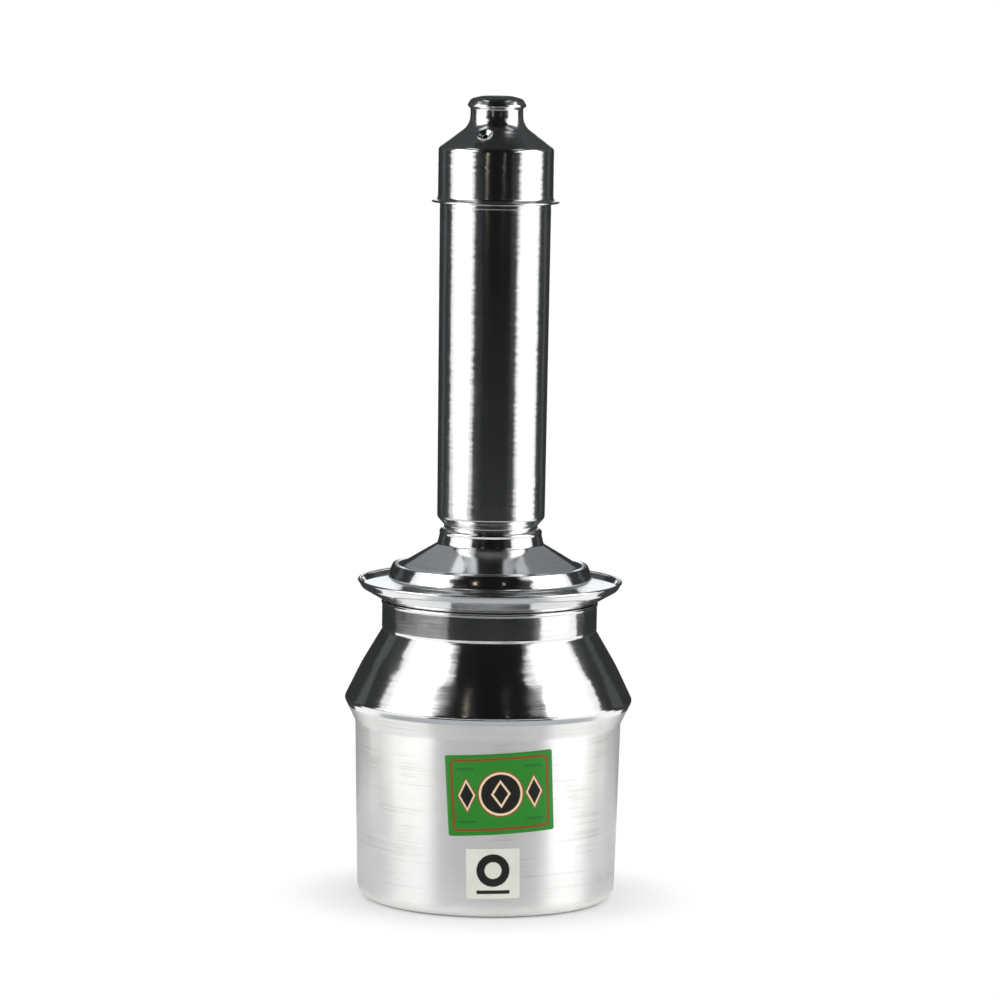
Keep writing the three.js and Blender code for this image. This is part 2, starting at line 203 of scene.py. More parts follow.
def made_by(tree, piece, values):
    """Runs a node tree on a piece with its named inputs set, and leaves the result as its plain mesh."""
    maker = piece.modifiers.new("maker", "NODES")
    maker.node_group = tree
    for item in tree.interface.items_tree:
        if item.in_out == "INPUT" and item.name in values:
            maker[item.identifier] = values[item.name]
    graph = bpy.context.evaluated_depsgraph_get()
    made = piece.evaluated_get(graph)
    mesh = bpy.data.meshes.new_from_object(made, preserve_all_data_layers=True, depsgraph=graph)
    piece.modifiers.remove(maker)
    piece.data = mesh
    return piece


def spun_piece(name, section, sides, outside, inside, body=None, satin_top=0.0):
    """A piece spun from its section, satin on the outside below a level and bright above it."""
    mesh = bpy.data.meshes.new(name)
    links = [(number, number + 1) for number in range(len(section) - 1)]
    mesh.from_pydata([(point.x, 0.0, point.y) for point, inner in section], links, [])
    marks = mesh.attributes.new("inside", "FLOAT", "POINT").data
    satin = mesh.attributes.new("satin", "FLOAT", "POINT").data
    for number, (point, inner) in enumerate(section):
        marks[number].value = inner
        satin[number].value = float(inner == 0.0 and point.y < satin_top)
    piece = bpy.data.objects.new(name, mesh)
    bpy.context.scene.collection.objects.link(piece)
    values = {
        "Sides": sides,
        "Outside finish": outside,
        "Inside finish": inside,
        "Body finish": body or outside,
    }
    return made_by(lathe, piece, values)


def drawn_noise(tree, place, pitch, detail):
    """Noise drawn out along the way of turning, as fine along X, Y and Z as its pitch says."""
    drawn = add_node(tree, "ShaderNodeVectorMath", {0: place, 1: pitch}, operation="MULTIPLY").outputs[0]
    noise = {"Vector": drawn, "Scale": 1.0, "Detail": detail}
    return add_node(tree, "ShaderNodeTexNoise", noise).outputs[0]


def turned_aluminium(name, bright, dull, roughness, stretch, depths, chatter, streak, scuff, metallic=1.0):
    """Aluminium turned on the lathe, with rings, tool marks, waves, ripples, streaks and rubbed patches.

    Depths are those of rings, marks, waves and ripples; chatter sways the face sideways from ring to ring.
    """
    line_depth, mark_depth, wave_depth, ripple_depth = depths
    ripple_pitch = (110.0, 110.0, 620.0)
    streak_pitch = (12.0, 12.0, 1000.0)
    chatter_pitch = (9.0, 9.0, 620.0)
    ring_drift = 0.004
    metal = bpy.data.materials.new(name)
    metal.use_nodes = True
    tree = metal.node_tree
    tree.nodes.clear()
    place = tree.nodes.new("ShaderNodeTexCoord").outputs["Object"]
    parts = add_node(tree, "ShaderNodeSeparateXYZ", {0: place}).outputs
    flat = add_node(tree, "ShaderNodeCombineXYZ", {"X": parts["X"], "Y": parts["Y"]}).outputs[0]
    radius = add_node(tree, "ShaderNodeVectorMath", {0: flat}, operation="LENGTH").outputs["Value"]
    drift = add_node(tree, "ShaderNodeTexNoise", {"Vector": place, "Scale": 16.0, "Detail": 1.0}).outputs[0]
    slide = maths(tree, "MULTIPLY", drift, ring_drift)
    ring = add_node(tree, "ShaderNodeCombineXYZ", {"X": radius, "Y": parts["Z"], "Z": slide}).outputs[0]
    fine_line = {"Vector": ring, "Scale": 1500.0, "Detail": 3.0, "Roughness": 0.65}
    fine = add_node(tree, "ShaderNodeTexNoise", fine_line).outputs[0]
    tool_mark = {"Vector": ring, "Scale": 230.0, "Detail": 2.0}
    marks = add_node(tree, "ShaderNodeTexNoise", tool_mark).outputs[0]
    waves = add_node(tree, "ShaderNodeTexNoise", {"Vector": place, "Scale": 42.0, "Detail": 1.0}).outputs[0]
    patch = {"Vector": place, "Scale": 30.0, "Detail": 5.0}
    rubbed = add_node(tree, "ShaderNodeTexNoise", patch).outputs[0]
    ripples = drawn_noise(tree, place, ripple_pitch, 2.0)
    dragged = drawn_noise(tree, place, streak_pitch, 3.0)
    gathered = maths(tree, "MULTIPLY_ADD", rubbed, 0.45, maths(tree, "MULTIPLY", dragged, 0.55))
    streaked = {"Value": gathered, "From Min": 0.55, "From Max": 0.65}
    streaks = add_node(tree, "ShaderNodeMapRange", streaked).outputs[0]
    height = maths(tree, "MULTIPLY", fine, line_depth)
    height = maths(tree, "MULTIPLY_ADD", marks, mark_depth, height)
    height = maths(tree, "MULTIPLY_ADD", waves, wave_depth, height)
    height = maths(tree, "MULTIPLY_ADD", ripples, ripple_depth, height)
    bump = add_node(tree, "ShaderNodeBump", {"Height": height, "Distance": 1.0}).outputs[0]
    lay = add_node(tree, "ShaderNodeTangent", direction_type="RADIAL", axis="Z").outputs[0]
    judder = drawn_noise(tree, place, chatter_pitch, 2.0)
    sway = maths(tree, "MULTIPLY", maths(tree, "SUBTRACT", judder, 0.5), chatter)
    sway = add_node(tree, "ShaderNodeVectorMath", {0: lay, 3: sway}, operation="SCALE").outputs[0]
    facing = add_node(tree, "ShaderNodeVectorMath", {0: bump, 1: sway}, operation="ADD").outputs[0]
    facing = add_node(tree, "ShaderNodeVectorMath", {0: facing}, operation="NORMALIZE").outputs[0]
    soil = maths(tree, "MULTIPLY_ADD", rubbed, 0.5, maths(tree, "MULTIPLY", fine, 0.5))
    soil_range = {"Value": soil, "From Min": 0.38, "From Max": 0.66}
    soil = add_node(tree, "ShaderNodeMapRange", soil_range).outputs[0]
    colour = add_node(tree, "ShaderNodeMix", {0: soil, 6: bright, 7: dull}, data_type="RGBA").outputs[2]
    shade = maths(tree, "MULTIPLY_ADD", streaks, -streak, 1.0)
    colour = add_node(tree, "ShaderNodeVectorMath", {0: colour, 3: shade}, operation="SCALE").outputs[0]
    rough_range = {"Value": soil, "To Min": roughness - scuff, "To Max": roughness + scuff}
    rough = add_node(tree, "ShaderNodeMapRange", rough_range).outputs[0]
    shader = {
        "Base Color": colour,
        "Metallic": metallic,
        "Roughness": rough,
        "Normal": facing,
        "Anisotropic": stretch,
        "Anisotropic Rotation": 0.25,
        "Tangent": lay,
    }
    surface = add_node(tree, "ShaderNodeBsdfPrincipled", shader).outputs[0]
    add_node(tree, "ShaderNodeOutputMaterial", {"Surface": surface})
    return metal


shoulder_aluminium = turned_aluminium(
    "polished_shoulder",
    bright=(0.93, 0.935, 0.94, 1.0),
    dull=(0.84, 0.84, 0.84, 1.0),
    roughness=0.14,
    stretch=0.5,
    depths=(1.4e-6, 8.0e-6, 4.5e-4, 1.2e-5),
    chatter=0.05,
    streak=0.12,
    scuff=0.03,
)
satin_aluminium = turned_aluminium(
    "satin_aluminium",
    bright=(0.96, 0.96, 0.945, 1.0),
    dull=(0.90, 0.90, 0.875, 1.0),
    roughness=0.39,
    stretch=1.0,
    depths=(5.0e-6, 1.4e-5, 4.0e-5, 1.0e-5),
    chatter=0.05,
    streak=0.14,
    scuff=0.06,
    metallic=0.58,
)
inside_aluminium = turned_aluminium(
    "inside_aluminium",
    bright=(0.74, 0.74, 0.735, 1.0),
    dull=(0.58, 0.58, 0.575, 1.0),
    roughness=0.36,
    stretch=0.5,
    depths=(5.0e-6, 1.6e-5, 3.0e-5, 1.0e-5),
    chatter=0.05,
    streak=0.12,
    scuff=0.08,
)

pot_section = sheet_section(pot_outline, pot_wall, last_bead=pot_rim_bead)
pot = spun_piece(
    "water_pot",
    pot_section,
    pot_sides,
    outside=shoulder_aluminium,
    inside=inside_aluminium,
    body=satin_aluminium,
    satin_top=pot_satin_top,
)
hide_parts("pot")
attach(pot, "pot")


# Two paper labels under clear film, pressed on the front of the pot by hand and a little crooked:
# a green one with a brown keyline, a roundel and lozenges, and a small white one with a black ring.
label_thickness = 0.00014
label_lift = 0.00002
pot_flare = (pot_tuck_radius - pot_foot_radius) / pot_tuck_level


def wrapped_label(name, width, height, corner, turn, level, tilt):
    """A thin closed patch with rounded corners laid on the flared body, with its own flat map."""
    columns = 40
    rows = 36
    rise = [0.5 - 0.5 * math.cos(math.pi * row / rows) for row in range(rows + 1)]
    mesh = bmesh.new()
    chart = mesh.loops.layers.uv.new("label")
    flat_place = {}
    layers = []
    for lift in (label_lift + label_thickness, label_lift):
        sheet = []
        for share in rise:
            up = (share - 0.5) * height
            past = max(0.0, abs(up) - (height / 2 - corner))
            half = width / 2 - corner + math.sqrt(max(0.0, corner ** 2 - past ** 2))
            line = []
            for column in range(columns + 1):
                along = (2 * column / columns - 1) * half
                around = along * math.cos(tilt) - up * math.sin(tilt)
                rising = along * math.sin(tilt) + up * math.cos(tilt)
                stand = level + rising
                reach = pot_foot_radius + pot_flare * stand + lift
                angle = turn + around / (pot_foot_radius + pot_flare * level)
                vertex = mesh.verts.new((reach * math.sin(angle), -reach * math.cos(angle), stand))
                flat_place[vertex] = (along / width + 0.5, up / height + 0.5)
                line.append(vertex)
            sheet.append(line)
        layers.append(sheet)
    front, back = layers
    for row in range(rows):
        for column in range(columns):
            ring = [(row, column), (row, column + 1), (row + 1, column + 1), (row + 1, column)]
            turned_ring = ring[:1] + ring[:0:-1]
            mesh.faces.new([front[high][wide] for high, wide in ring])
            mesh.faces.new([back[high][wide] for high, wide in turned_ring])
    rim = [(row, 0) for row in range(rows, 0, -1)]
    rim += [(0, column) for column in range(columns)]
    rim += [(row, columns) for row in range(rows)]
    rim += [(rows, column) for column in range(columns, 0, -1)]
    for (row, column), (next_row, next_column) in zip(rim, rim[1:] + rim[:1]):
        near = [front[next_row][next_column], front[row][column]]
        far = [back[row][column], back[next_row][next_column]]
        mesh.faces.new(near + far)
    for face in mesh.faces:
        face.smooth = True
        for loop in face.loops:
            loop[chart].uv = flat_place[loop.vert]
    data = bpy.data.meshes.new(name)
    mesh.to_mesh(data)
    mesh.free()
    label = bpy.data.objects.new(name, data)
    bpy.context.scene.collection.objects.link(label)
    return label


def printed_film(name, width, height, paper, prints):
    """Printed paper under film: each print is an ink laid on the paper inside its shape, worn a little."""
    ink_edge = 0.00022
    ink_wander = 0.0004
    film = bpy.data.materials.new(name)
    film.use_nodes = True
    tree = film.node_tree
    tree.nodes.clear()
    chart = add_node(tree, "ShaderNodeUVMap", uv_map="label").outputs[0]
    parts = add_node(tree, "ShaderNodeSeparateXYZ", {0: chart}).outputs
    along = maths(tree, "MULTIPLY", maths(tree, "SUBTRACT", parts["X"], 0.5), width)
    up = maths(tree, "MULTIPLY", maths(tree, "SUBTRACT", parts["Y"], 0.5), height)
    flat = add_node(tree, "ShaderNodeCombineXYZ", {"X": along, "Y": up}).outputs[0]
    fibre = {"Vector": flat, "Scale": 900.0, "Detail": 3.0}
    grain = add_node(tree, "ShaderNodeTexNoise", fibre).outputs[0]
    fade = add_node(tree, "ShaderNodeTexNoise", {"Vector": flat, "Scale": 45.0, "Detail": 2.0}).outputs[0]
    wander = maths(tree, "MULTIPLY", maths(tree, "SUBTRACT", grain, 0.5), ink_wander)
    colour = paper
    for ink, shape in prints:
        distance = maths(tree, "ADD", shape(tree, along, up), wander)
        soft = {"Value": distance, "From Min": ink_edge, "From Max": -ink_edge}
        mask = add_node(tree, "ShaderNodeMapRange", soft).outputs[0]
        layers = {0: mask, 6: colour, 7: ink}
        colour = add_node(tree, "ShaderNodeMix", layers, data_type="RGBA").outputs[2]
    worn = maths(tree, "MULTIPLY_ADD", fade, 0.26, maths(tree, "MULTIPLY_ADD", grain, 0.16, 0.79))
    colour = add_node(tree, "ShaderNodeVectorMath", {0: colour, 3: worn}, operation="SCALE").outputs[0]
    rough = maths(tree, "MULTIPLY_ADD", fade, 0.16, 0.30)
    height_map = maths(tree, "MULTIPLY", fade, 4.0e-5)
    height_map = maths(tree, "MULTIPLY_ADD", grain, 2.0e-6, height_map)
    bump = add_node(tree, "ShaderNodeBump", {"Height": height_map, "Distance": 1.0}).outputs[0]
    shader = {"Base Color": colour, "Roughness": rough, "Normal": bump, "Specular IOR Level": 0.45}
    surface = add_node(tree, "ShaderNodeBsdfPrincipled", shader).outputs[0]
    add_node(tree, "ShaderNodeOutputMaterial", {"Surface": surface})
    return film


def keyline(half_width, half_height, corner, line):
    """Mask for a rounded frame: the distance from its line."""
    def shape(tree, along, up):
        out = maths(tree, "SUBTRACT", maths(tree, "ABSOLUTE", along), half_width - corner)
        over = maths(tree, "SUBTRACT", maths(tree, "ABSOLUTE", up), half_height - corner)
        out_past = maths(tree, "MAXIMUM", out, 0.0)
        over_past = maths(tree, "MAXIMUM", over, 0.0)
        over_square = maths(tree, "MULTIPLY", over_past, over_past)
        square = maths(tree, "MULTIPLY_ADD", out_past, out_past, over_square)
        inner = maths(tree, "MINIMUM", maths(tree, "MAXIMUM", out, over), 0.0)
        distance = maths(tree, "ADD", maths(tree, "SQRT", square), maths(tree, "SUBTRACT", inner, corner))
        return maths(tree, "SUBTRACT", maths(tree, "ABSOLUTE", distance), line / 2)
    return shape


def disc(centre, radius):
    """Mask for a disc: the distance from its rim."""
    def shape(tree, along, up):
        out = maths(tree, "SUBTRACT", along, centre[0])
        over = maths(tree, "SUBTRACT", up, centre[1])
        square = maths(tree, "MULTIPLY_ADD", out, out, maths(tree, "MULTIPLY", over, over))
        return maths(tree, "SUBTRACT", maths(tree, "SQRT", square), radius)
    return shape


def lozenge(centre, half_width, half_height):
    """Mask for a lozenge: the distance from its sides."""
    def shape(tree, along, up):
        out = maths(tree, "ABSOLUTE", maths(tree, "SUBTRACT", along, centre[0]))
        over = maths(tree, "ABSOLUTE", maths(tree, "SUBTRACT", up, centre[1]))
        slope = half_width / half_height
        lean = maths(tree, "SUBTRACT", maths(tree, "MULTIPLY_ADD", over, slope, out), half_width)
        return maths(tree, "MULTIPLY", lean, 1.0 / math.hypot(1.0, slope))
    return shape


def bar(centre, half_width, half_height):
    """Mask for a straight bar: the distance from its sides."""
    def shape(tree, along, up):
        out = maths(tree, "ABSOLUTE", maths(tree, "SUBTRACT", along, centre[0]))
        over = maths(tree, "ABSOLUTE", maths(tree, "SUBTRACT", up, centre[1]))
        out = maths(tree, "SUBTRACT", out, half_width)
        over = maths(tree, "SUBTRACT", over, half_height)
        return maths(tree, "MAXIMUM", out, over)
    return shape


label_brown = (0.26, 0.055, 0.008, 1.0)
label_cream = (0.86, 0.66, 0.44, 1.0)
label_black = (0.012, 0.012, 0.010, 1.0)
label_leaf = (0.012, 0.16, 0.022, 1.0)
green_paper = (0.018, 0.235, 0.015, 1.0)
green_size = (0.0645, 0.0482)
roundel_discs = [(label_brown, 0.0138), (label_cream, 0.0130), (label_black, 0.0117)]
roundel_lozenges = [(label_cream, 0.0058, 0.0084), (label_black, 0.0044, 0.0064)]
side_lozenges = [
    (label_brown, 0.0058, 0.0108),
    (label_cream, 0.0051, 0.0096),
    (label_black, 0.0040, 0.0076),
]
side_place = 0.0202
dash_level = 0.0158
dash_half_size = (0.0052, 0.0007)
green_prints = [(label_brown, keyline(half_width=0.0287, half_height=0.0209, corner=0.0030, line=0.0014))]
green_prints += [(ink, disc((0.0, 0.0), radius)) for ink, radius in roundel_discs]
green_prints += [(ink, lozenge((0.0, 0.0), wide, tall)) for ink, wide, tall in roundel_lozenges]
for place in (-side_place, side_place):
    green_prints += [(ink, lozenge((place, 0.0), wide, tall)) for ink, wide, tall in side_lozenges]
    for level in (dash_level, -dash_level):
        green_prints.append((label_leaf, bar((place, level), *dash_half_size)))
green_film = printed_film("green_label_film", *green_size, green_paper, green_prints)
green_label = wrapped_label(
    "green_label", *green_size, corner=0.0012, turn=math.radians(6.0), level=0.0752, tilt=math.radians(3.4)
)

white_paper = (0.72, 0.73, 0.65, 1.0)
white_size = (0.0318, 0.0300)
white_ring_centre = (0.0, 0.0020)
white_bar_centre = (0.0, -0.0110)
white_prints = [
    (label_black, disc(white_ring_centre, 0.0098)),
    (white_paper, disc(white_ring_centre, 0.0050)),
    (label_black, bar(white_bar_centre, 0.0098, 0.0011)),
]
white_film = printed_film("white_label_film", *white_size, white_paper, white_prints)
white_label = wrapped_label(
    "white_label", *white_size, corner=0.0010, turn=math.radians(3.2), level=0.0273, tilt=math.radians(1.0)
)
for label, film in ((green_label, green_film), (white_label, white_film)):
    label.data.materials.append(film)
    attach(label, "pot")


# Base funnel: the brimmed foot of the steaming tube, one spun shell that drops into the pot's mouth.
# The brim covers the pot's rim, the valley plugs the mouth, and bulge, cone and collar carry the tube.
funnel_wall = 0.0011
funnel_brim_bead = 0.0008
funnel_sides = 192
funnel_outline = [
    (0.0778, 0.19138),
    (0.0762, 0.18840, 0.0019),
    (0.0614, 0.17991, 0.0019),
    (0.0614, 0.16860, 0.0018),
    (0.0572, 0.16860, 0.0018),
    (0.0572, 0.18641, 0.0025),
    (0.0614, 0.19321, 0.0040),
    (0.0603, 0.19750, 0.0250),
    (0.0585, 0.20160, 0.0008),
    (0.0534, 0.20130, 0.0060),
    (0.0319, 0.21438, 0.0020),
    (0.0306, 0.22000, 0.0010),
    (0.0309, 0.22190, 0.0013),
    (0.0295, 0.22348),
]
buffed_foot = turned_aluminium(
    "buffed_foot",
    bright=(0.92, 0.925, 0.93, 1.0),
    dull=(0.82, 0.82, 0.82, 1.0),
    roughness=0.13,
    stretch=0.45,
    depths=(1.6e-6, 7.0e-6, 8.0e-5, 1.0e-5),
    chatter=0.025,
    streak=0.12,
    scuff=0.03,
)
funnel_section = sheet_section(funnel_outline, funnel_wall, first_bead=funnel_brim_bead)
funnel = spun_piece("base_funnel_shell", funnel_section, funnel_sides, buffed_foot, buffed_foot)
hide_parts("base_funnel")
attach(funnel, "steam_column")


# Steaming tube: a tall, slightly flared tube drawn from sheet and buffed outside, dull inside.
# Its lower end is necked in, swaged inside the funnel's collar and rolled over to lock, so that the
# two lift off the pot together. A ring is scribed round it under the lid.
tube_wall = 0.0009
tube_sides = 160
tube_outline = [
    (0.02968, 0.21748),
    (0.02810, 0.22348, 0.0016),
    (0.02810, 0.22568, 0.0016),
    (0.03230, 0.23038, 0.0026),
    (0.03323, 0.41580, 0.0010),
    (0.03303, 0.41620, 0.0006),
    (0.03323, 0.41660, 0.0010),
    (0.03340, 0.45038),
]
buffed_tube = turned_aluminium(
    "buffed_tube",
    bright=(0.92, 0.93, 0.94, 1.0),
    dull=(0.82, 0.825, 0.83, 1.0),
    roughness=0.19,
    stretch=0.55,
    depths=(2.0e-6, 8.0e-6, 1.2e-4, 1.6e-5),
    chatter=0.085,
    streak=0.14,
    scuff=0.03,
)
tube_section = sheet_section(tube_outline, tube_wall)
tube = spun_piece("steaming_tube", tube_section, tube_sides, buffed_tube, inside_aluminium)
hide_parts("steam_tube")
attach(tube, "steam_column")


# Perforated plate: a loose punched disc that rests on the step at the foot of the tube, holds the flour
# and lets the steam through. Left as it comes from the press, plain and a little dull.
plate_radius = 0.0302
plate_bottom = 0.22968
plate_thickness = 0.0015
plate_sides = 96
plate_hole_radius = 0.00175
plate_hole_sides = 20
plate_ring_pitch = 0.008
plate_rings = 3
holes_added_per_ring = 6
punch_length = 0.02


def punching_press():
    """Node tree that punches rings of holes through a disc."""
    tree = bpy.data.node_groups.new("Punching press", "GeometryNodeTree")
    sockets = tree.interface
    sockets.new_socket("Blank", in_out="INPUT", socket_type="NodeSocketGeometry")
    for size in ("Radius", "Thickness", "Bottom level", "Hole radius", "Ring pitch"):
        sockets.new_socket(size, in_out="INPUT", socket_type="NodeSocketFloat")
    sockets.new_socket("Finish", in_out="INPUT", socket_type="NodeSocketMaterial")
    sockets.new_socket("Punched plate", in_out="OUTPUT", socket_type="NodeSocketGeometry")
    given = tree.nodes.new("NodeGroupInput").outputs
    blank = {"Vertices": plate_sides, "Radius": given["Radius"], "Depth": given["Thickness"]}
    blank = add_node(tree, "GeometryNodeMeshCylinder", blank).outputs["Mesh"]
    spots = [add_node(tree, "GeometryNodeMeshLine", {"Count": 1}, mode="OFFSET").outputs[0]]
    for ring in range(1, plate_rings + 1):
        reach = maths(tree, "MULTIPLY", given["Ring pitch"], ring)
        circle = {"Vertices": holes_added_per_ring * ring, "Radius": reach}
        spots.append(add_node(tree, "GeometryNodeMeshCircle", circle).outputs[0])
    layout = tree.nodes.new("GeometryNodeJoinGeometry")
    for spot in spots:
        tree.links.new(spot, layout.inputs[0])
    punch = {"Vertices": plate_hole_sides, "Radius": given["Hole radius"], "Depth": punch_length}
    punch = add_node(tree, "GeometryNodeMeshCylinder", punch).outputs["Mesh"]
    placed = {"Points": layout.outputs[0], "Instance": punch}
    punches = add_node(tree, "GeometryNodeInstanceOnPoints", placed).outputs[0]
    punches = add_node(tree, "GeometryNodeRealizeInstances", {"Geometry": punches}).outputs[0]
    cut = {"Mesh 1": blank, "Mesh 2": punches}
    cut = add_node(tree, "GeometryNodeMeshBoolean", cut, operation="DIFFERENCE", solver="EXACT")
    middle = maths(tree, "MULTIPLY_ADD", given["Thickness"], 0.5, given["Bottom level"])
    lift = add_node(tree, "ShaderNodeCombineXYZ", {"Z": middle}).outputs[0]
    plate = {"Geometry": cut.outputs["Mesh"], "Offset": lift}
    plate = add_node(tree, "GeometryNodeSetPosition", plate).outputs[0]
    plate = add_node(tree, "GeometryNodeRealizeInstances", {"Geometry": plate}).outputs[0]
    plate = {"Geometry": plate, "Material": given["Finish"]}
    plate = add_node(tree, "GeometryNodeSetMaterial", plate).outputs[0]
    add_node(tree, "NodeGroupOutput", {0: plate})
    return tree


plain_aluminium = turned_aluminium(
    "plain_aluminium",
    bright=(0.82, 0.82, 0.815, 1.0),
    dull=(0.68, 0.68, 0.675, 1.0),
    roughness=0.33,
    stretch=0.3,
    depths=(3.0e-6, 6.0e-6, 4.0e-5, 6.0e-6),
    chatter=0.05,
    streak=0.10,
    scuff=0.07,
)
plate = bpy.data.objects.new("punched_plate", bpy.data.meshes.new("punched_plate"))
bpy.context.scene.collection.objects.link(plate)
plate_values = {
    "Radius": plate_radius,
    "Thickness": plate_thickness,
    "Bottom level": plate_bottom,
    "Hole radius": plate_hole_radius,
    "Ring pitch": plate_ring_pitch,
    "Finish": plain_aluminium,
}
made_by(punching_press(), plate, plate_values)
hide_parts("perforated_plate")
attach(plate, "plate")


# Lid: a spun cap that slips over the tube, with a narrow flange, a cone and a hollow knob all in one
# sheet, buffed as the tube is. One steam vent is pressed in and pierced on the front of the cone.
lid_wall = 0.0007
lid_flange_bead = 0.0007
lid_sides = 192
lid_outline = [
    (0.0370, 0.42011),
    (0.0345, 0.42121, 0.0024),
    (0.0345, 0.45141, 0.0034),
    (0.0158, 0.46520, 0.0110),
    (0.0158, 0.47440, 0.0013),
    (0.0179, 0.47650, 0.0013),
    (0.0155, 0.48060, 0.0040),
    (0.0085, 0.48230, 0.0120),
    (0.0, 0.48230),
]
lid_section = sheet_section(lid_outline, lid_wall, first_bead=lid_flange_bead)
lid = spun_piece("spun_lid", lid_section, lid_sides, buffed_tube, inside_aluminium)

vent_turn = math.radians(-18.0)
vent_reach = 0.02251
vent_level = 0.46025
vent_slope = math.radians(36.4)
vent_hole = 0.0018
vent_dimple = 0.0050
vent_depth = 0.0016
vent_margins = (0.003, 0.001)
vent_sheet_reach = 2 * lid_wall + 0.001


def pierce_vent(piece):
    """Presses a dimple in the cone and pierces its middle, through both faces of the sheet."""
    out = Vector((math.sin(vent_turn), -math.cos(vent_turn), 0.0))
    side = Vector((math.cos(vent_turn), math.sin(vent_turn), 0.0))
    facing = out * math.sin(vent_slope) + Vector((0.0, 0.0, math.cos(vent_slope)))
    uphill = facing.cross(side)
    middle = out * vent_reach + Vector((0.0, 0.0, vent_level))
    mesh = bmesh.new()
    mesh.from_mesh(piece.data)

    def flat(vertex):
        away = vertex.co - middle
        return Vector((away.dot(side), away.dot(uphill)))

    def near(vertex, reach):
        return flat(vertex).length < reach and abs((vertex.co - middle).dot(facing)) < vent_sheet_reach

    for margin in vent_margins:
        reach = vent_dimple + margin
        edges = [edge for edge in mesh.edges if all(near(vertex, reach) for vertex in edge.verts)]
        bmesh.ops.subdivide_edges(mesh, edges=edges, cuts=1, use_grid_fill=True)
    patch = [vertex for vertex in mesh.verts if near(vertex, vent_dimple)]
    pierced = [vertex for vertex in patch if flat(vertex).length < vent_hole]
    bmesh.ops.delete(mesh, geom=pierced, context="VERTS")
    patch = [vertex for vertex in patch if vertex.is_valid]
    lips = [edge for edge in mesh.edges if edge.is_boundary]
    for vertex in {vertex for edge in lips for vertex in edge.verts}:
        away = flat(vertex)
        shift = away.normalized() * vent_hole - away
        vertex.co += side * shift.x + uphill * shift.y
    for vertex in patch:
        share = (flat(vertex).length - vent_hole) / (vent_dimple - vent_hole)
        share = min(max(share, 0.0), 1.0)
        vertex.co -= facing * vent_depth * (0.5 + 0.5 * math.cos(math.pi * share))
    bmesh.ops.bridge_loops(mesh, edges=lips)
    for face in mesh.faces:
        face.smooth = True
    mesh.to_mesh(piece.data)
    mesh.free()


pierce_vent(lid)
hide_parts("lid")
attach(lid, "lid")


# Studio: a white sweep under the object, a soft white box at either side, two small lamps in front, and
# cards of grey that only the polished metal mirrors. The camera sees white behind the object and the
# pale grey of the room in all other directions, against which bright edges stay clear.
studio = bpy.context.scene
studio.view_settings.view_transform = "Standard"
plain_white = (1.0, 1.0, 1.0, 1.0)


def smooth_range(tree, value, start, end, low=0.0, high=1.0):
    """A value that goes softly from low to high while another goes from start to end."""
    spread = {"Value": value, "From Min": start, "From Max": end, "To Min": low, "To Max": high}
    return add_node(tree, "ShaderNodeMapRange", spread, interpolation_type="SMOOTHSTEP").outputs[0]


def seen_as_picture(tree, path):
    """One where the camera, a mirror or glass looks at the surface, and none where it only gives light."""
    seen = maths(tree, "MAXIMUM", path["Is Camera Ray"], path["Is Glossy Ray"])
    return maths(tree, "MAXIMUM", seen, path["Is Transmission Ray"])


def grey_wall(tree, place, path):
    """How much grey the camera sees: none behind the object, all of it at the sides and in front."""
    backward = add_node(tree, "ShaderNodeVectorMath", {0: place}, operation="NORMALIZE").outputs[0]
    backward = add_node(tree, "ShaderNodeSeparateXYZ", {0: backward}).outputs["Y"]
    turned = smooth_range(tree, backward, start=0.80, end=0.45, high=0.32)
    return maths(tree, "MULTIPLY", turned, path["Is Camera Ray"])


def white_sweep():
    """The floor near the object keeps its shadow; further out it turns into the tone of the background."""
    paper = bpy.data.materials.new("white_sweep")
    paper.use_nodes = True
    tree = paper.node_tree
    tree.nodes.clear()
    place = tree.nodes.new("ShaderNodeTexCoord").outputs["Object"]
    path = tree.nodes.new("ShaderNodeLightPath").outputs
    away = add_node(tree, "ShaderNodeVectorMath", {0: place}, operation="LENGTH").outputs["Value"]
    far = smooth_range(tree, away, start=0.074, end=0.135, low=0.05)
    grain = add_node(tree, "ShaderNodeTexNoise", {"Vector": place, "Scale": 400.0}).outputs[0]
    tone = add_node(tree, "ShaderNodeMapRange", {"Value": grain, "To Min": 0.90, "To Max": 0.93}).outputs[0]
    near = add_node(tree, "ShaderNodeBsdfDiffuse", {"Color": tone}).outputs[0]
    outer = smooth_range(tree, away, start=0.45, end=1.10)
    wall = maths(tree, "MULTIPLY", outer, grey_wall(tree, place, path))
    strength = maths(tree, "SUBTRACT", 1.0, wall)
    glow = add_node(tree, "ShaderNodeEmission", {"Color": plain_white, "Strength": strength}).outputs[0]
    blend = {0: maths(tree, "MULTIPLY", far, seen_as_picture(tree, path)), 1: near, 2: glow}
    surface = add_node(tree, "ShaderNodeMixShader", blend).outputs[0]
    add_node(tree, "ShaderNodeOutputMaterial", {"Surface": surface})
    return paper


floor_reach = 6
floor_drop = 0.0002
floor_corners = [(-1, -1), (1, -1), (1, 1), (-1, 1)]
floor_points = [(x * floor_reach, y * floor_reach, 0) for x, y in floor_corners]
floor_mesh = bpy.data.meshes.new("floor")
floor_mesh.from_pydata(floor_points, [], [(0, 1, 2, 3)])
floor_mesh.materials.append(white_sweep())
floor = bpy.data.objects.new("floor", floor_mesh)
floor.location.z = -floor_drop
studio.collection.objects.link(floor)


